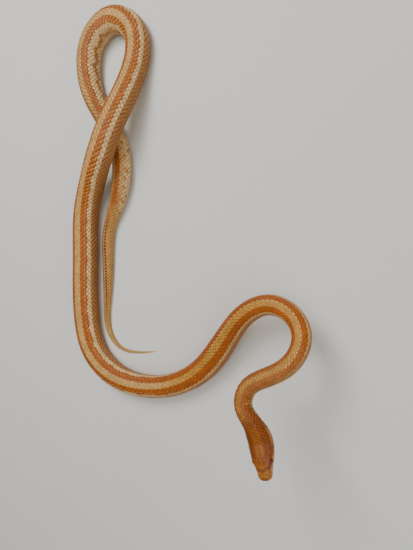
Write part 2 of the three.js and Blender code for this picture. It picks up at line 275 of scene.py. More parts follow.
def section_points(s, angle):
    """How far aside and up the surface is, at distances from the snout and angles round it."""
    sin, cos = np.sin(angle), np.cos(angle)
    width = read_off(BODY_WIDTHS, s)
    on_head = s < NECK_START
    below = np.clip(-2 * cos, 0, 1)
    back = np.maximum(s - CHIN_SETBACK * below, s * 0.1)
    share = np.clip(back / SNOUT_ROUNDING, 0, 1)
    fill = (1 - (1 - share) ** SNOUT_POWER) ** (1 / SNOUT_POWER)
    neck = smoothstep(s, HEAD_LENGTH - 5, NECK_START)
    half = np.where(on_head, read_off(HEAD_SECTIONS, s) / 2 * fill, width / 2)
    head_top = SNOUT_LEVEL + (read_off(HEAD_SECTIONS, s, 2) - SNOUT_LEVEL) * fill
    head_bottom = -SNOUT_LEVEL + (read_off(HEAD_SECTIONS, s, 3) + SNOUT_LEVEL) * fill
    head_level = SNOUT_LEVEL + (read_off(HEAD_SECTIONS, s, 4) - SNOUT_LEVEL) * fill
    top = np.where(on_head, head_top, BACK_HEIGHT * width)
    bottom = np.where(on_head, head_bottom, BELLY_DEPTH * width)
    level = np.where(on_head, head_level, 0)
    back_power = HEAD_TOP_POWER + (BACK_POWER - HEAD_TOP_POWER) * neck
    chin_power = HEAD_CHIN_POWER + (BELLY_POWER - HEAD_CHIN_POWER) * neck
    height = np.where(cos >= 0, top - level, bottom + level)
    power = np.where(cos >= 0, back_power, chin_power)
    tiny = 1e-6
    aside_share = np.abs(sin / np.maximum(half, tiny)) ** power
    reach = (aside_share + np.abs(cos / np.maximum(height, tiny)) ** power) ** (-1 / power)
    up = level + reach * cos
    swell = 0
    for along, high, far, wide, rise in (BROW, ORBIT, LOREAL, LIP):
        swell = swell + rise * np.exp(-((s - along) / far) ** 2 - ((up - high) / wide) ** 2)
    reach = reach + np.where(s < HEAD_LENGTH, np.abs(sin) * swell, 0)
    return reach * sin, level + reach * cos


TABLE_S = np.linspace(0.02, TOTAL - 0.02, int(TOTAL / 0.75))
TABLE_Q = np.linspace(-1, 1, 193)


def girth_table():
    """Angles round the section by the share of the half girth, at distances from the snout."""
    angle = np.linspace(0, math.pi, 181)
    aside, up = section_points(TABLE_S[:, None], angle[None, :])
    run = np.hypot(np.diff(aside, axis=1), np.diff(up, axis=1))
    arc = np.concatenate([np.zeros((len(TABLE_S), 1)), np.cumsum(run, axis=1)], axis=1)
    shares = np.abs(TABLE_Q)
    angles = [np.interp(shares, row / row[-1], angle) for row in arc]
    return np.stack(angles) * np.sign(TABLE_Q)


ANGLES = girth_table()


def angle_at(s, q):
    """The angle round the section at a share q of the half girth, right of the back being +."""
    q = (q + 1) % 2 - 1
    i = np.clip(np.interp(s, TABLE_S, np.arange(len(TABLE_S))), 0, len(TABLE_S) - 1.001)
    j = np.clip((q + 1) / 2 * (len(TABLE_Q) - 1), 0, len(TABLE_Q) - 1.001)
    i0, j0 = i.astype(int), j.astype(int)
    fi, fj = i - i0, j - j0
    near = ANGLES[i0, j0] * (1 - fj) + ANGLES[i0, j0 + 1] * fj
    far = ANGLES[i0 + 1, j0] * (1 - fj) + ANGLES[i0 + 1, j0 + 1] * fj
    return near * (1 - fi) + far * fi


def plates_end(up):
    """How far back the head's plates reach, by the height over the axis."""
    lips = smoothstep(-up, 0.2, 1.2) * (1 - smoothstep(-up, 3.8, 4.4))
    chin = smoothstep(-up, 3.8, 4.6)
    return CROWN_END + (LIP_END - CROWN_END) * lips + (CHIN_END - CROWN_END) * chin


def surface(s, q, depth, relief=False):
    """Places on the skin in millimetres, how far aside and up they are, and the seams there."""
    s, q = np.broadcast_arrays(s, q)
    shape = s.shape
    s, q = s.ravel().astype(float), q.ravel().astype(float)
    aside, up = section_points(s, angle_at(s, q))
    inset = depth * smoothstep(s - plates_end(up), -1, 1.5) * smoothstep(TOTAL - s, 0, 30)
    out = -inset
    seam = np.zeros_like(s)
    if relief:
        head = s < HEAD_LENGTH
        raised, seam[head] = head_relief(s[head], aside[head], up[head])
        out[head] += raised
    reach = np.maximum(np.hypot(aside, up), 1e-6)
    stretch = np.maximum(1 + out / reach, 0.5)
    centre, right, turned_up = axis_frames(s)
    place = centre + right * (aside * stretch)[:, None] + turned_up * (up * stretch)[:, None]
    place[:, 2] = np.maximum(place[:, 2], inset)
    return place.reshape(*shape, 3), aside.reshape(shape), up.reshape(shape), seam.reshape(shape)


def bump_at(x, centre, half, soft):
    """1 within half of centre, falling to 0 over soft."""
    return 1 - smoothstep(np.abs(x - centre), half, half + soft)


def body_markings(s, row, own_row, half_rows, tip, chance):
    """The stripe, bands and flecks of body and tail, and how pale the rims of scales are."""
    out, own = np.abs(row), np.abs(own_row)
    edge = half_rows - out
    phase = phase_at(s)
    front = 1 - smoothstep(s, *FRONT_FADE)
    wide = smoothstep(s, *WIDE_START)
    rear = smoothstep(s, *REAR_START)
    tail = smoothstep(s, *TAIL_START)
    arch = bump_at(s, *ARCH)
    loop = smoothstep(s, *LOOP_START)
    soft = 0.3

    stripe_half = 1.5 - 0.15 * front - 0.2 * rear
    stripe = bump_at(out, 0, stripe_half, soft)
    band_end = 4.75 + 0.75 * front - 1.1 * rear
    band = smoothstep(out, stripe_half, stripe_half + soft) * (1 - smoothstep(out, band_end, band_end + soft))
    middle = (1 - front) * (1 - rear)
    thin_line = bump_at(out, 3.6, 0.05, 0.3) * middle
    slow = 0.32 * np.sin(phase * 1.37) + 0.22 * np.sin(phase * 2.9 + 1)
    ragged = 0.5 * (chance - 0.5)
    zigzag = bump_at(out, band_end + 1.15 + slow + ragged, 0.95 + 0.15 * loop, soft) * middle
    zigzag = zigzag * (0.85 + 0.15 * chance)
    low_line = bump_at(out, band_end + 0.6 + slow, 0.1, 0.5) * front * smoothstep(s, 95, 150)
    flank = smoothstep(out, band_end + 1.3, band_end + 2) * smoothstep(edge, -0.2, 0.7)
    wavy = bump_at(out, 8.4 + 2 * slow, 0.5, 0.5)
    ropes = flank * middle * (0.75 + 0.25 * chance) * (1 - wide * (1 - wavy))
    sparse = flank * rear * (chance > 0.86) * bump_at(tip, 0.6, 0.2, 0.2)
    blotch, dash = (
        np.exp(-((s - place) / length) ** 2 - ((out - aside) / width) ** 2)
        for place, length, aside, width in (ROOT_BLOTCH, ROOT_DASH)
    )
    tail_end = smoothstep(s, *TAIL_END_START)
    spot = (own > 0.6) * (own < 1.5) * bump_at(tip, 0.55, 0.32, 0.15)
    spots = spot * smoothstep(s, *SPOTS_START) * (1 - smoothstep(s, *SPOTS_END))
    notch = spot * smoothstep(s, *NOTCH_START) * (1 - tail)
    # Pale dots along the arch, partly pale scale tips and partly painted glints, fainter on the animal's
    # right.
    dots_and_glints = (own > 1.7) * (own < 2.3) * bump_at(tip, 0.9, 0.25, 0.15) * (out < own)
    dots_and_glints = dots_and_glints * arch * np.where(own_row < 0, 1, 0.35)

    nape = 1 - smoothstep(s, *NAPE_FADE)
    low_front = 0.75 * front * flank
    orange = np.maximum.reduce([
        band * (1 - 0.35 * thin_line) * (1 - tail), low_front * (1 - nape), 0.8 * sparse, blotch, dash,
    ])
    cream = np.maximum.reduce([
        zigzag, 0.25 * thin_line, 0.4 * low_line, 0.8 * dots_and_glints, 0.6 * flank * wide * (1 - wavy) * (1 - rear),
        0.7 * flank * rear * (1 - tail),
    ])
    back_side = np.where(out < own, 1, 0.15)
    pale = np.maximum.reduce([
        0.3 + 0 * s, band * middle * (0.2 + 0.6 * loop), flank * middle * back_side, 0.8 * zigzag,
        0.8 * rear * (1 - tail) * (1 - 0.7 * band), tail,
    ])
    return {
        "gold": np.maximum.reduce([stripe * front, tail * (1 - 0.6 * tail_end), low_front * nape]),
        "straw": np.maximum(stripe * (1 - front) * (1 - tail), 0.4 * tail),
        "orange": orange * (1 - dots_and_glints),
        "cream": cream * (1 - 0.9 * sparse),
        "fleck": np.maximum.reduce([ropes, 0.3 * front * flank, 0.8 * tail * (tip < 0.5)]),
        "belly": smoothstep(-edge, -0.7, 0.1),
        "dark": np.maximum(0.95 * spots, 0.45 * notch),
        "pale": pale,
    }


def head_markings(s, aside, up):
    """The golden crown, the dark bars, the temples with painted shade on the animal's right, the lips and the
    chin.
    """
    across = np.abs(aside)
    over = smoothstep(up, 1.2, 2.4)
    right = smoothstep(aside, -1, 1)
    middle = bump_at(across, 0, 1.9 + 0.06 * (s - 14), 2) * smoothstep(s, 11, 17) * over
    middle = middle * (1 - 0.5 * smoothstep(s, 27, 36))
    # Dark temple bands, the animal's own marks, made darker and wider on its right by painted shade.
    temple_and_shade = bump_at(across, 5 - 0.8 * right, 0.5 + 0.8 * right, 1.2) * smoothstep(s, 14, 18)
    temple_and_shade = temple_and_shade * smoothstep(up, 1.6, 2.6) * (1 - smoothstep(s, 32, 42)) * (0.28 + 0.2 * right)
    bar = bump_at(s, 6.9 + 0.42 * across, 0.6, 0.9) * over * 0.7
    tip = bump_at(across, 1.1, 0.5, 0.7) * (1 - smoothstep(s, 2.2, 3.6)) * smoothstep(up, 0.6, 1.4)
    stripe_up = 1.7 - 0.2 * (s - 15)
    behind_eye = bump_at(up, stripe_up, 0.5, 0.9) * smoothstep(s, 14.3, 16.3) * (1 - smoothstep(s, 25, 28))
    before_eye = bump_at(up, 1.8, 0.4, 0.6) * bump_at(s, 9.4, 0.8, 0.8)
    sides = np.maximum(behind_eye * (0.4 + 0.4 * bump_at(s, 20.5, 1, 2)), 0.5 * before_eye) * (across > 3.4)
    nape = bump_at(s, 38, 1.5, 3.5) * bump_at(across, 0, 2.4, 2.4) * over * 0.4
    spots = np.exp(-((s - 45) / 1.4) ** 2 - ((across - 1.1) / 0.6) ** 2) * over
    lip = smoothstep(-up, -2.4, -0.6) * (1 - smoothstep(s, 26, 36))
    chin = smoothstep(-up, 2.6, 3.6) * (1 - smoothstep(s, 26, 40))
    mark = np.maximum.reduce([temple_and_shade, bar, 0.5 * tip, sides, nape, 0.7 * spots])
    snout = 0.35 * (1 - smoothstep(s, 8, 13)) * over
    gold = np.maximum(0.14 * middle, snout)
    return {"gold": gold, "mark": mark * (1 - chin), "lip": lip * (1 - chin), "belly": chin}


def markings(s, q, own_q, tip, chance):
    """How much of each colour places have, by their distance and share of the half girth.

    own_q is the share at which a place's own scale is rooted, tip how far back on that scale the
    place lies, and chance the lone draw of the scale.
    """
    half_rows, edge = rows_across(s)
    own_row = own_q * half_rows / edge
    row = (q * 0.6 + own_q * 0.4) * half_rows / edge
    body = body_markings(s, row, own_row, half_rows, tip, chance)
    aside, up = section_points(s, angle_at(s, q))
    head = head_markings(s, aside, up)
    on_head = 1 - smoothstep(s, *HEAD_FADE)
    neck = 1 - smoothstep(s, *NECK_FADE)
    out = np.abs(row)
    masks = {name: body.get(name, 0 * s) * (1 - on_head) for name in (*MASKS, "pale")}
    masks["crown"] = neck * smoothstep(half_rows - out, 0, 1)
    masks["orange"] = masks["orange"] * (1 - 0.65 * neck)
    low = smoothstep(out, 5, 7)
    masks["gold"] = np.maximum(masks["gold"] * (1 - 0.45 * neck * (1 - low)), head["gold"])
    masks["fleck"] = masks["fleck"] * (1 - 0.8 * neck)
    masks["mark"] = head["mark"] * (s < HEAD_BAND + 10)
    masks["lip"] = head["lip"]
    masks["belly"] = np.maximum(masks["belly"], head["belly"])
    return {name: np.clip(value, 0, 1) for name, value in masks.items()}


def seam_points(lines, view):
    """Points along seams on both sides of the head, as distance, aside and up."""
    angle = np.linspace(0, math.pi, 361)
    found = []
    for line in lines:
        line = np.array(line, float)
        run = np.concatenate([[0], np.cumsum(np.linalg.norm(np.diff(line, axis=0), axis=1))])
        steps = np.linspace(0, run[-1], max(int(run[-1] / 0.1), 2))
        s = np.interp(steps, run, line[:, 0])
        value = np.interp(steps, run, line[:, 1])
        aside, up = section_points(s[:, None], angle[None, :])
        for i in range(len(s)):
            if view == "side":
                at = np.interp(-value[i], -up[i], angle)
            elif view == "top":
                upper = angle <= math.pi / 2
                at = np.interp(value[i], np.maximum.accumulate(aside[i][upper]), angle[upper])
            else:
                lower = angle >= math.pi / 2
                at = np.interp(-value[i], -np.minimum.accumulate(aside[i][lower]), angle[lower])
            x, z = section_points(s[i:i + 1], np.array([at]))
            found += [(s[i], x[0], z[0]), (s[i], -x[0], z[0])]
    return found


def nearest(points, targets):
    """The distance from each point to the nearest target."""
    tree = KDTree(len(targets))
    for i, target in enumerate(targets):
        tree.insert(target, i)
    tree.balance()
    return np.array([tree.find(point)[2] for point in points])


def head_relief(s, aside, up):
    """How far the head's skin stands out or in, and how near each place is to a seam."""
    points = np.stack([s, aside, up], 1)
    mouth_x, mouth_z = np.array(MOUTH_LINE).T
    lips = [[(x, np.interp(x, mouth_x, mouth_z)), (x, -0.5)] for x in UPPER_LIP_SEAMS]
    lips += [[(x, np.interp(x, mouth_x, mouth_z)), (x + 0.5, -3.7)] for x in LOWER_LIP_SEAMS]
    seams = seam_points(TOP_SEAMS, "top") + seam_points(SIDE_SEAMS + lips, "side")
    away = nearest(points, seams + seam_points(CHIN_SEAMS, "chin"))
    from_mouth = nearest(points, seam_points([MOUTH_LINE], "side"))
    plated = 1 - smoothstep(s - plates_end(up), -0.8, 0.8)
    groove = np.exp(-(away / SEAM_WIDTH) ** 2) * plated
    mouth = np.exp(-(from_mouth / MOUTH_WIDTH) ** 2)
    dome = PLATE_DOME * (1 - np.exp(-(away / PLATE_REACH) ** 2)) * plated
    from_nostril = np.hypot(s - NOSTRIL_ALONG, (up - NOSTRIL_UP) * 1.3) / NOSTRIL_RADIUS
    pit = np.exp(-from_nostril ** 4)
    ring = 0.12 * np.exp(-(from_nostril - 1.5) ** 2 * 4)
    from_eye = np.hypot(s - EYE_ALONG, up - EYE_UP)
    socket = 1 - smoothstep(from_eye, EYE_RADIUS - 0.45, EYE_RADIUS + 0.05)
    rim = 0.18 * np.exp(-((from_eye - EYE_RADIUS - 0.3) / 0.25) ** 2)
    round_eye = np.where(np.abs(aside) > 3, rim - 1.3 * socket, 0)
    out = dome + ring + round_eye - SEAM_DEPTH * groove - MOUTH_DEPTH * mouth - NOSTRIL_DEPTH * pit
    return out, np.maximum.reduce([groove, mouth, pit])


def rows_across(s):
    """Rows of scales on one side at a distance from the snout, and the belly's edge there."""
    return read_off(HALF_ROWS, s), read_off(BELLY_EDGE, s)


PHASES = np.concatenate([[0], np.cumsum(np.diff(DISTANCES) / read_off(PITCHES, DISTANCES[:-1]))])


def phase_at(s):
    """How many belly plates fit between the snout and a distance from it."""
    return np.interp(s, DISTANCES, PHASES)


def unwrap(s, q, start):
    """The place on a flat unwrap of the skin, the head over bands of body, by where it starts."""
    length = (TOTAL - HEAD_BAND) / PLAIN_BANDS
    band = np.clip(np.floor((start - HEAD_BAND) / length), 0, PLAIN_BANDS - 1)
    on_head = start < HEAD_BAND
    u = np.clip(np.where(on_head, s / HEAD_BAND, (s - HEAD_BAND) / length - band), 0, 1)
    low = np.where(on_head, 0.5, band / 6)
    tall = np.where(on_head, 0.5, 1 / 6)
    margin = 0.01
    across = margin + (q + 1) / 2 * (1 - 2 * margin)
    return np.stack([margin + u * (1 - 2 * margin), low + tall * across], -1)


def store(mesh, name, values, domain="POINT", kind="FLOAT"):
    """A named attribute on a mesh."""
    layer = mesh.attributes.new(name, kind, domain)
    field = "value" if kind == "FLOAT" else "vector"
    layer.data.foreach_set(field, np.ascontiguousarray(values, dtype=np.float32).ravel())


def link(name, mesh):
    """A new object with that mesh, in the scene."""
    piece = bpy.data.objects.new(name, mesh)
    bpy.context.scene.collection.objects.link(piece)
    return piece


def add(tree, kind, inputs=None, **settings):
    """Adds a node with its settings, and sets or links its inputs by name or number."""
    node = tree.nodes.new(kind)
    for name, value in settings.items():
        setattr(node, name, value)
    for key, value in (inputs or {}).items():
        if isinstance(value, bpy.types.NodeSocket):
            tree.links.new(value, node.inputs[key])
        else:
            node.inputs[key].default_value = value
    return node


def new_material(name):
    """An empty node material, its tree and its output."""
    material = bpy.data.materials.new(name)
    material.use_nodes = True
    material.node_tree.nodes.clear()
    output = add(material.node_tree, "ShaderNodeOutputMaterial")
    return material, material.node_tree, output


def per_mm(size):
    """The scale of a pattern whose features are that many millimetres wide."""
    return 1 / (size * MM)


def layered(tree, colour, layers):
    """The colour under others that are laid over it in turn, each by its own share."""
    for share, over in layers:
        mix = {MIX_SHARE: share, MIX_UNDER: colour, MIX_OVER: over}
        colour = add(tree, "ShaderNodeMix", mix, data_type="RGBA").outputs[MIX_COLOUR]
    return colour


def marked_colour(tree, colours):
    """The animal's colour, laid on mask by mask from the flank's own."""
    layers = []
    for name in MASKS:
        mask = add(tree, "ShaderNodeAttribute", attribute_name=name).outputs["Fac"]
        layers.append((mask, [*getattr(colours, name), 1]))
    return layered(tree, [*colours.flank, 1], layers)


def shaded(tree, colour, shade):
    """The colour times a shade, which is the same for red, green and blue."""
    grey = add(tree, "ShaderNodeCombineColor", {0: shade, 1: shade, 2: shade}).outputs[0]
    mix = {MIX_SHARE: 1.0, MIX_UNDER: colour, MIX_OVER: grey}
    return add(tree, "ShaderNodeMix", mix, data_type="RGBA", blend_type="MULTIPLY").outputs[MIX_COLOUR]


def mottled(tree, colour, size, low, high, place):
    """The colour made darker and lighter in soft patches of that many millimetres."""
    noise = add(tree, "ShaderNodeTexNoise", {"Vector": place, "Scale": per_mm(size), "Detail": 3})
    value = add(tree, "ShaderNodeMapRange", {0: noise.outputs[0], 1: 0.3, 2: 0.7, 3: low, 4: high})
    return shaded(tree, colour, value.outputs[0])


def scale_keratin(colours):
    """Keratin over pigment: satin, each scale paler at its rim and with painted shade where it comes
    from under the next, with a very fine grain."""
    material, tree, output = new_material("scale_keratin")
    place = add(tree, "ShaderNodeTexCoord").outputs["Object"]
    colour = marked_colour(tree, colours)
    rim = add(tree, "ShaderNodeAttribute", attribute_name="rim").outputs["Fac"]
    share = add(tree, "ShaderNodeAttribute", attribute_name="pale").outputs["Fac"]
    edge = add(tree, "ShaderNodeMath", {0: rim, 1: 1.3}, operation="POWER").outputs[0]
    pale = add(tree, "ShaderNodeMath", {0: edge, 1: share}, operation="MULTIPLY").outputs[0]
    colour = layered(tree, colour, [(pale, [*colours.between, 1])])
    lone = add(tree, "ShaderNodeAttribute", attribute_name="lone").outputs["Fac"]
    own = add(tree, "ShaderNodeMapRange", {0: lone, 3: 0.86, 4: 1.12}).outputs[0]
    # Painted shade: each scale darker where it comes out from under the next.
    deep = add(tree, "ShaderNodeAttribute", attribute_name="deep").outputs["Fac"]
    painted_shade_factor = add(tree, "ShaderNodeMapRange", {0: deep, 3: 1, 4: 0.5}).outputs[0]
    shade = add(tree, "ShaderNodeMath", {0: own, 1: painted_shade_factor}, operation="MULTIPLY").outputs[0]
    colour = mottled(tree, shaded(tree, colour, shade), 9, 0.93, 1.06, place)
    grain = add(tree, "ShaderNodeTexNoise", {"Vector": place, "Scale": per_mm(0.25), "Detail": 2})
    bump = add(tree, "ShaderNodeBump", {"Strength": 0.12, "Distance": 0.05 * MM, "Height": grain.outputs[0]})
    shader = add(tree, "ShaderNodeBsdfPrincipled", {
        "Base Color": colour, "Roughness": 0.46, "Specular IOR Level": 0.2, "IOR": 1.5,
        "Normal": bump.outputs[0],
    })
    tree.links.new(shader.outputs[0], output.inputs["Surface"])
    return material


def plated_skin(colours):
    """Skin and the head's plates: satin keratin, with painted shade in the seams, the mouth and the nostrils,
    soft skin between scales.
    """
    material, tree, output = new_material("plated_skin")
    place = add(tree, "ShaderNodeTexCoord").outputs["Object"]
    colour = marked_colour(tree, colours)
    bare = add(tree, "ShaderNodeAttribute", attribute_name="bare").outputs["Fac"]
    between = layered(tree, colour, [(0.6, [*colours.between, 1])])
    colour = layered(tree, colour, [(bare, between)])
    colour = mottled(tree, colour, 0.8, 0.9, 1.08, place)
    colour = mottled(tree, colour, 5, 0.92, 1.07, place)
    # Painted shade in the seams, the mouth and the nostrils.
    seam = add(tree, "ShaderNodeAttribute", attribute_name="seam").outputs["Fac"]
    depth = add(tree, "ShaderNodeMath", {0: seam, 1: 0.55}, operation="MULTIPLY").outputs[0]
    colour = layered(tree, colour, [(depth, [*colours.seam, 1])])
    grain = add(tree, "ShaderNodeTexNoise", {"Vector": place, "Scale": per_mm(0.3), "Detail": 3})
    bump = add(tree, "ShaderNodeBump", {"Strength": 0.15, "Distance": 0.05 * MM, "Height": grain.outputs[0]})
    shader = add(tree, "ShaderNodeBsdfPrincipled", {
        "Base Color": colour, "Roughness": 0.44, "Specular IOR Level": 0.3, "IOR": 1.5,
        "Normal": bump.outputs[0],
    })
    tree.links.new(shader.outputs[0], output.inputs["Surface"])
    return material


def spectacle_eye(colours):
    """The clear scale over the eye: wet gloss over a ruby pupil in an orange-red ring."""
    material, tree, output = new_material("spectacle_eye")
    off_axis = add(tree, "ShaderNodeAttribute", attribute_name="off_axis").outputs["Fac"]
    place = add(tree, "ShaderNodeTexCoord").outputs["Object"]
    noise = add(tree, "ShaderNodeTexNoise", {"Vector": place, "Scale": per_mm(0.35), "Detail": 4})
    pupil = add(tree, "ShaderNodeMapRange", {0: off_axis, 1: 0.56, 2: 0.62, 3: 1, 4: 0}).outputs[0]
    # Painted shade at the eye's edge, where it sinks into its socket.
    border = add(tree, "ShaderNodeMapRange", {0: off_axis, 1: 0.86, 2: 1.0, 3: 0, 4: 0.85}).outputs[0]
    colour = layered(tree, [*colours.iris, 1], [
        (noise.outputs[0], [*colours.iris_dark, 1]), (pupil, [*colours.pupil, 1]),
        (border, [*colours.seam, 1]),
    ])
    shader = add(tree, "ShaderNodeBsdfPrincipled", {
        "Base Color": colour, "Roughness": 0.35, "Specular IOR Level": 0.2, "IOR": 1.38,
        "Coat Weight": 0.6, "Coat Roughness": 0.04,
    })
    tree.links.new(shader.outputs[0], output.inputs["Surface"])
    return material


def plain_floor(colour):
    """A matt pale studio floor, even and without gloss."""
    material, tree, output = new_material("studio_floor")
    place = add(tree, "ShaderNodeTexCoord").outputs["Object"]
    colour = mottled(tree, [*colour, 1], 180, 0.985, 1.01, place)
    shader = add(tree, "ShaderNodeBsdfPrincipled", {
        "Base Color": colour, "Roughness": 0.85, "Specular IOR Level": 0.2,
    })
    tree.links.new(shader.outputs[0], output.inputs["Surface"])
    return material


def closed_scale(name, across, half_widths, marks, rise, dome, keel):
    """One closed scale: x to the animal's right, y from root 0 to tip 1, z as shares of its rise."""
    leaf, rim = [], []
    for y, half, lift in zip(marks, half_widths, rise):
        for share in np.linspace(-1, 1, across):
            ridge = keel * max(0, 1 - abs(share) * (across - 1) / 2)
            leaf.append((-share * half, y, lift + dome * (1 - share ** 2) + ridge))
            rim.append(float(abs(share) > 0.99 or y == marks[-1]))
    last = len(marks) - 1
    faces = []
    for j in range(last):
        for i in range(across - 1):
            a = j * across + i
            faces.append((a, a + 1, a + 1 + across, a + across))
    top = len(faces)
    for i in range(across - 1):
        faces.append((i + 1, i, last * across + i, last * across + i + 1))
    faces.append(tuple(j * across for j in range(last + 1)))
    faces.append(tuple((last - j) * across + across - 1 for j in range(last + 1)))
    mesh = bpy.data.meshes.new(name)
    mesh.from_pydata(leaf, [], faces)
    smooth = np.arange(len(faces)) < top
    mesh.polygons.foreach_set("use_smooth", smooth)
    store(mesh, "leaf", leaf, kind="FLOAT_VECTOR")
    store(mesh, "rim", rim)
    return mesh


def scale_tree():
    """Nodes that lay copies of a scale on the skin, each bent to it by its unwrap."""
    tree = bpy.data.node_groups.new("lay_scales", "GeometryNodeTree")
    sockets = {
        "Geometry": "NodeSocketGeometry", "Skin": "NodeSocketObject", "Scale": "NodeSocketObject",
        "Lay": "NodeSocketString", "Rise": "NodeSocketFloat", "Bake Patch": "NodeSocketFloat",
        "Material": "NodeSocketMaterial",
    }
    for name, kind in sockets.items():
        tree.interface.new_socket(name=name, in_out="INPUT", socket_type=kind)
    tree.interface.new_socket(name="Geometry", in_out="OUTPUT", socket_type="NodeSocketGeometry")
    given = add(tree, "NodeGroupInput").outputs
    skin = add(tree, "GeometryNodeObjectInfo", {"Object": given["Skin"]}).outputs["Geometry"]
    scale = add(tree, "GeometryNodeObjectInfo", {"Object": given["Scale"]}).outputs["Geometry"]
    laid = add(tree, "GeometryNodeInstanceOnPoints", {"Points": given["Geometry"], "Instance": scale})
    real = add(tree, "GeometryNodeRealizeInstances", {"Geometry": laid.outputs[0]}).outputs[0]

    stored = []
    for name in ("root", "size", "leaf", "patch", given["Lay"]):
        field = add(tree, "GeometryNodeInputNamedAttribute", {"Name": name}, data_type="FLOAT_VECTOR")
        stored.append(field.outputs[0])
    *vectors, lay = stored
    root, size, leaf, patch = (add(tree, "ShaderNodeSeparateXYZ", {0: vector}).outputs for vector in vectors)

    drift = add(tree, "ShaderNodeMath", {0: leaf[1], 1: size[2], 2: root[1]}, operation="MULTIPLY_ADD")
    on_the_lay = (size[0], size[1], root[0], drift.outputs[0])
    on_the_bake = (given["Bake Patch"], given["Bake Patch"], patch[0], patch[1])
    flat = []
    for long, broad, start, side in (on_the_lay, on_the_bake):
        along = add(tree, "ShaderNodeMath", {0: leaf[1], 1: long, 2: start}, operation="MULTIPLY_ADD")
        across = add(tree, "ShaderNodeMath", {0: leaf[0], 1: broad, 2: side}, operation="MULTIPLY_ADD")
        flat.append(add(tree, "ShaderNodeCombineXYZ", {0: along.outputs[0], 1: across.outputs[0]}).outputs[0])
    target, bake = flat

    read = []
    for kind in ("GeometryNodeInputPosition", "GeometryNodeInputNormal"):
        sample = {0: skin, 1: add(tree, kind).outputs[0], 2: lay, 3: target}
        read.append(add(tree, "GeometryNodeSampleUVSurface", sample, data_type="FLOAT_VECTOR").outputs[0])
    ground, outward = read
    own_rise = add(tree, "ShaderNodeMath", {0: root[2], 1: given["Rise"]}, operation="MULTIPLY").outputs[0]
    height = add(tree, "ShaderNodeMath", {0: leaf[2], 1: own_rise}, operation="MULTIPLY").outputs[0]
    lifted = add(tree, "ShaderNodeVectorMath", {0: outward, "Scale": height}, operation="SCALE").outputs[0]
    place = add(tree, "ShaderNodeVectorMath", {0: ground, 1: lifted}, operation="ADD").outputs[0]
    moved = add(tree, "GeometryNodeSetPosition", {"Geometry": real, "Position": place}).outputs[0]
    mapped = add(tree, "GeometryNodeStoreNamedAttribute", {
        "Geometry": moved, "Name": "OFBake", "Value": bake,
    }, data_type="FLOAT2", domain="CORNER").outputs[0]
    finished = add(tree, "GeometryNodeSetMaterial", {"Geometry": mapped, "Material": given["Material"]})
    add(tree, "NodeGroupOutput", {0: finished.outputs[0]})
    return tree


def read_back(mesh, name, width):
    """The values of a named attribute of a mesh, one row to a point."""
    layer = mesh.attributes[name]
    values = np.empty(len(layer.data) * width, np.float32)
    layer.data.foreach_get("vector" if width == 3 else "value", values)
    return values.reshape(-1, width).astype(float)


def mark_scales(mesh, lay):
    """Gives every point of the laid scales its colour masks, by where on the skin it lies.

    A plate over the middle of the belly has its root taken round to the side of each point.
    """
    root, size, leaf = (read_back(mesh, name, 3) for name in ("root", "size", "leaf"))
    turn = 0 if lay == "lay_back" else 1
    s = (root[:, 0] + leaf[:, 1] * size[:, 0]) * TOTAL
    across = root[:, 1] + leaf[:, 1] * size[:, 2]
    q = (2 * (across + leaf[:, 0] * size[:, 1]) - 1 + turn + 1) % 2 - 1
    own_q = q + (2 * across - 1 + turn - q + 1) % 2 - 1
    chance = read_back(mesh, "lone", 1)[:, 0]
    masks = markings(s, q, own_q, leaf[:, 1], chance)
    # Painted shade where each scale comes out from under the next, less on the belly and the stripe.
    front, loop = smoothstep(s, *PAINTED_SHADE_FRONT_START), smoothstep(s, *PAINTED_SHADE_LOOP_START)
    share = PAINTED_SHADE_NECK + PAINTED_SHADE_FRONT * front + PAINTED_SHADE_LOOP * loop
    share = share * (1 - 0.8 * masks["belly"]) * (1 - 0.6 * masks["straw"] * (s < VENT))
    masks["deep"] = (1 - smoothstep(leaf[:, 1], *PAINTED_SHADE_END)) * share
    for key, value in masks.items():
        store(mesh, key, value)


def lay_scales(name, points, template, lay, rise, material):
    """Lays scales on the skin from their roots and sizes, and makes them a plain marked mesh."""
    tree = bpy.data.node_groups.get("lay_scales") or scale_tree()
    mesh = bpy.data.meshes.new(name)
    mesh.from_pydata((points["place"] * MM).tolist(), [], [])
    for key in ("root", "size", "patch"):
        store(mesh, key, points[key], kind="FLOAT_VECTOR")
    store(mesh, "lone", points["lone"])
    piece = link(name, mesh)
    modifier = piece.modifiers.new("Scales", "NODES")
    modifier.node_group = tree
    values = {
        "Skin": bpy.data.objects["skin"], "Scale": template, "Lay": lay, "Rise": rise,
        "Bake Patch": BAKE_PATCH, "Material": material,
    }
    for item in tree.interface.items_tree:
        if item.in_out == "INPUT" and item.name in values:
            modifier[item.identifier] = values[item.name]
    graph = bpy.context.evaluated_depsgraph_get()
    made = bpy.data.meshes.new_from_object(
        piece.evaluated_get(graph), preserve_all_data_layers=True, depsgraph=graph)
    piece.modifiers.remove(modifier)
    piece.data = made
    if not made.polygons:
        raise RuntimeError(f"{name} came out empty")
    mark_scales(made, lay)
    for key in ("root", "size", "patch", "leaf"):
        made.attributes.remove(made.attributes[key])
    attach(piece, "root")
    return piece


def rise_share(s, length, up, run):
    """The share of its full rise that a scale has, less at both ends and inside tight bends."""
    open_share = np.clip(run / length, 0.3, 1) ** 1.5
    start = smoothstep(s + length - plates_end(up), -1, 1.5)
    return open_share * start * smoothstep(TOTAL - s - length, 0, 30)


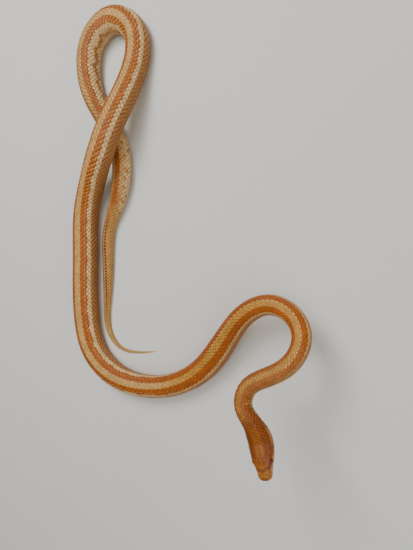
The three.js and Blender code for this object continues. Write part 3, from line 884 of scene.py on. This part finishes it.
def scale_points(s, row, settings, draws):
    """Roots and sizes of scales of the back, flanks and throat at distances and rows."""
    half_rows, edge = rows_across(s)
    q = row / half_rows * edge
    length = read_off(PITCHES, s) * settings.scale_length * draws.uniform(0.97, 1.03, len(s))
    next_rows, next_edge = rows_across(s + length)
    drift = row / next_rows * next_edge - q
    width = edge / half_rows * settings.scale_width * draws.uniform(0.97, 1.03, len(s))
    width *= 1 + 0.12 * smoothstep(np.abs(row), half_rows - 1.6, half_rows - 0.6)
    place, _, up, _ = surface(s, q, settings.coat_depth / MM)
    end = surface(s + length, q + drift, settings.coat_depth / MM)[0]
    run = np.linalg.norm(end - place, axis=1)
    under = np.abs(q) > UNDERSIDE
    unrolled = np.where(under, (q % 2) / 2, (q + 1) / 2)
    points = {
        "place": place,
        "root": np.stack([s / TOTAL, unrolled, rise_share(s, length, up, run)], 1),
        "size": np.stack([length / TOTAL, width / 2, drift / 2], 1),
        "patch": np.concatenate([unwrap(s, q, s), np.zeros((len(s), 1))], 1),
        "lone": draws.uniform(0, 1, len(s)),
        "s": s,
        "under": under,
    }
    keep = (s > plates_end(up) - 1.5) & (s + length < TOTAL - 1)
    return {key: value[keep] for key, value in points.items()}


def back_scales(settings, draws):
    """All the scales of the back, the flanks and the throat."""
    s_all, rows = [], []
    most = int(HALF_ROWS[:, 1].max() / BELLY_EDGE[0, 1]) + 1
    for row in range(-most, most + 1):
        first, last = int(phase_at(CHIN_END - 1)), int(PHASES[-1] - 2)
        phase = np.arange(first, last) + (row % 2) / 2
        s = np.interp(phase, PHASES, DISTANCES)
        half_rows, edge = rows_across(s)
        full = np.where(s < THROAT_START, half_rows / edge, half_rows + 0.15)
        keep = np.abs(row) <= full - 0.3
        s_all.append(s[keep])
        rows.append(np.full(keep.sum(), float(row)))
    return scale_points(*map(np.concatenate, (s_all, rows)), settings, draws)


def belly_points(s, centre_q, width, length, settings, draws):
    """Roots and sizes of plates under the body."""
    q = (centre_q + 1) % 2 - 1
    place, _, up, _ = surface(s, q, settings.coat_depth / MM)
    return {
        "place": place,
        "root": np.stack([s / TOTAL, (centre_q % 2) / 2, rise_share(s, length, up, length)], 1),
        "size": np.stack([length / TOTAL, width / 2, 0 * s], 1),
        "patch": np.concatenate([unwrap(s, q, s), np.zeros((len(s), 1))], 1),
        "lone": draws.uniform(0, 1, len(s)),
    }


def default_colour(name, text, hex_colour):
    """A colour property with an sRGB hex default."""
    return bpy.props.FloatVectorProperty(
        name=name, description=text, subtype="COLOR", size=3, min=0, max=1, default=linear(hex_colour))


class CornSnakeColours(bpy.types.PropertyGroup):
    """The colours of the animal and of the floor."""

    flank: default_colour("Flank", "Tan ground of the flanks", "#CA9A5C")
    crown: default_colour("Crown", "Orange-brown of the head and nape", "#84440F")
    gold: default_colour("Gold", "Golden stripe of the front third, crown and tail", "#C08632")
    straw: default_colour("Straw", "Stripe along the back", "#C89A58")
    orange: default_colour("Orange", "Bands beside the stripe", "#A65209")
    # Cream also paints the arch's pale dots, which are partly painted glints.
    cream: default_colour("Cream", "Zigzag under the bands", "#E6C088")
    fleck: default_colour("Fleck", "Brown-tan scales of the flanks", "#9E5E28")
    belly: default_colour("Belly", "Belly plates and chin", "#E2C69A")
    # Dark marks of the head, with painted shade in the temple band on the animal's right.
    mark: default_colour("Mark", "Darker marks of the head", "#6A2C0C")
    lip: default_colour("Lip", "Plates along the lips", "#CC8A4C")
    dark: default_colour("Dark", "Small spots of the tail", "#6A1E0A")
    between: default_colour("Between", "Skin and rims between the scales", "#E0B67A")
    # Painted shade for the head's seams, mouth and nostrils and for the eye's edge.
    seam: default_colour("Seam", "Depth of the seams and of the mouth", "#4C200C")
    iris: default_colour("Iris", "Ring of the eye", "#8E2A10")
    iris_dark: default_colour("Iris Dark", "Darker streaks of the ring", "#561008")
    pupil: default_colour("Pupil", "Ruby pupil", "#1E0202")
    floor: default_colour("Floor", "Studio floor", "#D9D7D2")


class CornSnakeSizes(bpy.types.PropertyGroup):
    """The sizes of scales and coat."""

    coat_depth: bpy.props.FloatProperty(
        name="Coat Depth", description="How far the skin lies under the solids", default=0.4 * MM,
        min=0, unit="LENGTH", precision=5)
    scale_rise: bpy.props.FloatProperty(
        name="Scale Rise", description="How high the tip of a scale stands over the skin",
        default=0.34 * MM, min=0, unit="LENGTH", precision=5)
    scale_length: bpy.props.FloatProperty(
        name="Scale Length", description="Length of a scale in belly plate lengths", default=1.5)
    scale_width: bpy.props.FloatProperty(
        name="Scale Width", description="Width of a scale in row spacings", default=1.8)
    plate_length: bpy.props.FloatProperty(
        name="Plate Length", description="Length of a belly plate in plate spacings", default=1.22)


class CORNSNAKE_OT_stage(bpy.types.Operator):
    """Set the camera, the lights and the floor"""

    bl_idname = "corn_snake.stage"
    bl_label = "Stage"

    def execute(self, context):
        camera = bpy.data.objects.new("camera", bpy.data.cameras.new("camera"))
        context.scene.collection.objects.link(camera)
        camera.location = CAMERA_PLACE
        camera.rotation_euler = (0, math.radians(CAMERA_TILT), 0)
        camera.data.sensor_width = SENSOR_SIDE
        camera.data.lens = SENSOR_SIDE * PICTURE_SIDES[0] / PICTURE_SIDES[1]
        camera.data.clip_start = 0.01
        context.scene.camera = camera

        mesh = bpy.data.meshes.new("studio_floor")
        half = 4.0
        corners = [(-half, -half, 0), (half, -half, 0), (half, half, 0), (-half, half, 0)]
        mesh.from_pydata(corners, [], [(0, 1, 2, 3)])
        mesh.materials.append(plain_floor(context.scene.corn_snake_colours.floor))
        floor = link("studio_floor", mesh)

        lights = {
            "key": ((-0.25, 0.55, 0.9), 0.5, 9.0),
            "fill": ((0.7, -0.5, 0.7), 0.8, 3.5),
            "top": ((0.0, 0.0, 1.3), 0.8, 5.5),
        }
        for name, (place, size, power) in lights.items():
            data = bpy.data.lights.new(name, "AREA")
            data.size = size
            data.energy = power
            light = bpy.data.objects.new(name, data)
            light.location = place
            light.rotation_euler = (-Vector(place)).to_track_quat("-Z", "Y").to_euler()
            context.scene.collection.objects.link(light)
        world = bpy.data.worlds.new("studio")
        world.use_nodes = True
        world.node_tree.nodes["Background"].inputs[0].default_value = (1, 0.96, 0.9, 1)
        world.node_tree.nodes["Background"].inputs[1].default_value = 0.22
        context.scene.world = world
        return {"FINISHED"}


class CORNSNAKE_OT_skin(bpy.types.Operator):
    """Make the one skin with the head's plates, lips, nostrils and mouth"""

    bl_idname = "corn_snake.skin"
    bl_label = "Skin"

    def execute(self, context):
        sizes = context.scene.corn_snake_sizes
        nose = 2 * np.linspace(0.08, 1, 16) ** 2
        head = np.arange(2.2, HEAD_BAND - 4, 0.2)
        body = np.linspace(HEAD_BAND - 4, TOTAL - 0.05, 286)
        rings = np.concatenate([nose, head, body])
        q = -1 + 2 * np.arange(GIRTH_SIDES) / GIRTH_SIDES
        s_grid, q_grid = np.meshgrid(rings, q, indexing="ij")
        places, _, up, seam = surface(s_grid, q_grid, sizes.coat_depth / MM, relief=True)
        i, j = np.meshgrid(np.arange(len(rings) - 1), np.arange(GIRTH_SIDES), indexing="ij")
        here, beside = i * GIRTH_SIDES + j, i * GIRTH_SIDES + (j + 1) % GIRTH_SIDES
        quads = np.stack([here, here + GIRTH_SIDES, beside + GIRTH_SIDES, beside], -1)
        count = len(rings) * GIRTH_SIDES
        last = count - GIRTH_SIDES
        faces = quads.reshape(-1, 4).tolist()
        faces += [(count, c, (c + 1) % GIRTH_SIDES) for c in range(GIRTH_SIDES)]
        faces += [(count + 1, last + (c + 1) % GIRTH_SIDES, last + c) for c in range(GIRTH_SIDES)]
        ends = [places[0].mean(0), places[-1].mean(0)]
        mesh = bpy.data.meshes.new("skin")
        mesh.from_pydata((np.concatenate([places.reshape(-1, 3), ends]) * MM).tolist(), [], faces)
        mesh.polygons.foreach_set("use_smooth", np.ones(len(faces), bool))

        masks = markings(s_grid, q_grid, q_grid, np.full_like(s_grid, 0.5), np.full_like(s_grid, 0.4))
        # Where shade is painted in the seams, the mouth and the nostrils.
        masks["seam"] = seam
        masks["bare"] = smoothstep(s_grid - plates_end(up), 0.5, 2.5) * smoothstep(s_grid, 24, 90)
        for key, value in masks.items():
            store(mesh, key, np.concatenate([value.ravel(), [value[0].mean(), value[-1].mean()]]))

        self.map_skin(mesh, faces, np.append(s_grid, [0, TOTAL]), np.append(q_grid, [-9, -9]))
        mesh.materials.append(plated_skin(context.scene.corn_snake_colours))
        mesh.update()
        skin = link("skin", mesh)
        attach(skin, "root")
        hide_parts(*FLESH)
        return {"FINISHED"}

    def map_skin(self, mesh, faces, s, q):
        """Gives each face its place on the unwraps that the scales and the bake are laid by."""
        corner = np.empty(len(mesh.loops), int)
        mesh.loops.foreach_get("vertex_index", corner)
        face_of = np.repeat(np.arange(len(faces)), [len(face) for face in faces])
        s, q = s[corner], q[corner]
        high = np.full(len(faces), -9.0)
        np.maximum.at(high, face_of, q)
        high = high[face_of]
        q = np.where((q == -1) & (high > 0.5), 1, q)
        q = np.where(q == -9, high, q)
        flat = np.zeros_like(s)
        store(mesh, "lay_back", np.stack([s / TOTAL, (q + 1) / 2, flat], 1), "CORNER", "FLOAT_VECTOR")
        round_belly = np.where(high <= 0, q + 2, q)
        store(mesh, "lay_belly", np.stack([s / TOTAL, round_belly / 2, flat], 1), "CORNER", "FLOAT_VECTOR")
        start = np.full(len(faces), TOTAL)
        np.minimum.at(start, face_of, s)
        layer = mesh.uv_layers.new(name="OFBake")
        layer.data.foreach_set("uv", unwrap(s, q, start[face_of]).astype(np.float32).ravel())


class CORNSNAKE_OT_scales(bpy.types.Operator):
    """Lay the overlapping scales of the back, the flanks, the throat and the tail"""

    bl_idname = "corn_snake.scales"
    bl_label = "Scales"

    def execute(self, context):
        sizes = context.scene.corn_snake_sizes
        points = back_scales(sizes, np.random.default_rng(SEED))
        marks = [0, 0.22, 0.42, 0.64, 0.84, 1]
        widths = [0.3, 0.43, 0.5, 0.45, 0.29, 0.1]
        rise = [-1.4, -0.6, 0.15, 0.5, 0.72, 0.85]
        mesh = closed_scale("scale_template", 5, widths, marks, rise, 0.1, 0.12)
        template = link("scale_template", mesh)
        material = scale_keratin(context.scene.corn_snake_colours)
        spans = {
            "scales_front": (0, 380, "body_skin"), "scales_middle": (380, 700, "body_skin"),
            "scales_rear": (700, VENT, "body_skin"), "scales_tail": (VENT, TOTAL, "tail_skin"),
        }
        for name, (low, high, slot) in spans.items():
            part = (points["s"] >= low) & (points["s"] < high) & ~points["under"]
            chosen = {key: value[part] for key, value in points.items()}
            lay_scales(name, chosen, template, "lay_back", sizes.scale_rise, material)
        throat = {key: value[points["under"]] for key, value in points.items()}
        lay_scales("scales_throat", throat, template, "lay_belly", sizes.scale_rise, material)
        bpy.data.objects.remove(template)
        return {"FINISHED"}


class CORNSNAKE_OT_belly(bpy.types.Operator):
    """Lay the wide plates of the belly and the paired plates under the tail"""

    bl_idname = "corn_snake.belly"
    bl_label = "Belly Plates"

    def execute(self, context):
        sizes = context.scene.corn_snake_sizes
        draws = np.random.default_rng(SEED + 1)
        material = bpy.data.materials["scale_keratin"]
        marks, widths, rise = [0, 0.4, 0.85, 1], [0.5, 0.5, 0.495, 0.46], [-0.3, 0.1, 0.6, 0.8]
        template = link("plate_template", closed_scale("plate_template", 13, widths, marks, rise, 0, 0))
        phase = np.arange(math.ceil(phase_at(THROAT_START)), phase_at(VENT))
        s = np.interp(phase, PHASES, DISTANCES)
        _, edge = rows_across(s)
        length = read_off(PITCHES, s) * sizes.plate_length
        width = 2 * (1 - edge) * (1.02 - 0.5 * (1 - smoothstep(s, THROAT_START - 3, 46)))
        points = belly_points(s, 0 * s + 1, width, length, sizes, draws)
        lay_scales("belly_plates", points, template, "lay_belly", sizes.scale_rise, material)
        phase = np.arange(math.ceil(phase_at(VENT)), PHASES[-1] - 3)
        s = np.repeat(np.interp(phase, PHASES, DISTANCES), 2)
        side = np.tile([-1, 1], len(phase))
        _, edge = rows_across(s)
        length = read_off(PITCHES, s) * sizes.plate_length
        points = belly_points(s, 1 + side * (1 - edge) / 2, (1 - edge) * 1.02, length, sizes, draws)
        lay_scales("tail_plates", points, template, "lay_belly", sizes.scale_rise, material)
        bpy.data.objects.remove(template)
        return {"FINISHED"}


class CORNSNAKE_OT_eyes(bpy.types.Operator):
    """Make both eyes, each under its clear scale"""

    bl_idname = "corn_snake.eyes"
    bl_label = "Eyes"

    def execute(self, context):
        material = spectacle_eye(context.scene.corn_snake_colours)
        centre, right, up = (row[0] for row in axis_frames(np.array([EYE_ALONG])))
        forward = np.cross(up, right)
        polar = np.linspace(0, math.pi, 25)[1:-1]
        sides = 40
        turn = np.linspace(0, 2 * math.pi, sides, endpoint=False)
        for name, side in (("left", -1), ("right", 1)):
            out = right * side
            middle = centre + out * EYE_ASIDE + up * EYE_UP
            points = [middle + out * EYE_RADIUS]
            for a in polar:
                for b in turn:
                    flat = forward * math.cos(b) + np.cross(out, forward) * math.sin(b)
                    points.append(middle + EYE_RADIUS * (out * math.cos(a) + flat * math.sin(a)))
            points.append(middle - out * EYE_RADIUS)
            faces = [(0, 1 + b, 1 + (b + 1) % sides) for b in range(sides)]
            for a in range(len(polar) - 1):
                for b in range(sides):
                    here, after = 1 + a * sides + b, 1 + a * sides + (b + 1) % sides
                    faces.append((here, here + sides, after + sides, after))
            end = len(points) - 1
            first = end - sides
            faces += [(end, first + (b + 1) % sides, first + b) for b in range(sides)]
            mesh = bpy.data.meshes.new(f"{name}_eye")
            mesh.from_pydata((np.array(points) * MM).tolist(), [], faces)
            mesh.polygons.foreach_set("use_smooth", np.ones(len(faces), bool))
            off_axis = np.repeat(np.sin(np.minimum(polar, math.pi / 2)), sides)
            store(mesh, "off_axis", np.concatenate([[0], off_axis, [1]]))
            mesh.materials.append(material)
            mesh.update()
            eye = link(f"{name}_eye", mesh)
            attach(eye, "root")
            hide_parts(f"eye_{name}")
        return {"FINISHED"}


class CORNSNAKE_PT_panel(bpy.types.Panel):
    """Sizes, colours and the steps that make the animal"""

    bl_idname = "CORNSNAKE_PT_panel"
    bl_label = "Corn Snake"
    bl_space_type = "VIEW_3D"
    bl_region_type = "UI"
    bl_category = "Corn Snake"

    def draw(self, context):
        for group in (context.scene.corn_snake_sizes, context.scene.corn_snake_colours):
            for name in group.bl_rna.properties.keys():
                if name not in ("name", "rna_type"):
                    self.layout.prop(group, name)
        for step in STEPS:
            self.layout.operator(step.bl_idname)


STEPS = (CORNSNAKE_OT_stage, CORNSNAKE_OT_skin, CORNSNAKE_OT_scales, CORNSNAKE_OT_belly, CORNSNAKE_OT_eyes)
CLASSES = (CornSnakeColours, CornSnakeSizes, *STEPS, CORNSNAKE_PT_panel)


def register():
    """Registers the classes and gives the scene its colours and sizes."""
    for cls in CLASSES:
        bpy.utils.register_class(cls)
    bpy.types.Scene.corn_snake_colours = bpy.props.PointerProperty(type=CornSnakeColours)
    bpy.types.Scene.corn_snake_sizes = bpy.props.PointerProperty(type=CornSnakeSizes)


def unregister():
    """Takes away what register gave."""
    del bpy.types.Scene.corn_snake_sizes
    del bpy.types.Scene.corn_snake_colours
    for cls in reversed(CLASSES):
        bpy.utils.unregister_class(cls)


def main():
    """Makes the stage and the animal."""
    register()
    bpy.ops.corn_snake.stage()
    bpy.ops.corn_snake.skin()
    bpy.ops.corn_snake.scales()
    bpy.ops.corn_snake.belly()
    bpy.ops.corn_snake.eyes()


if __name__ == "__main__":
    main()
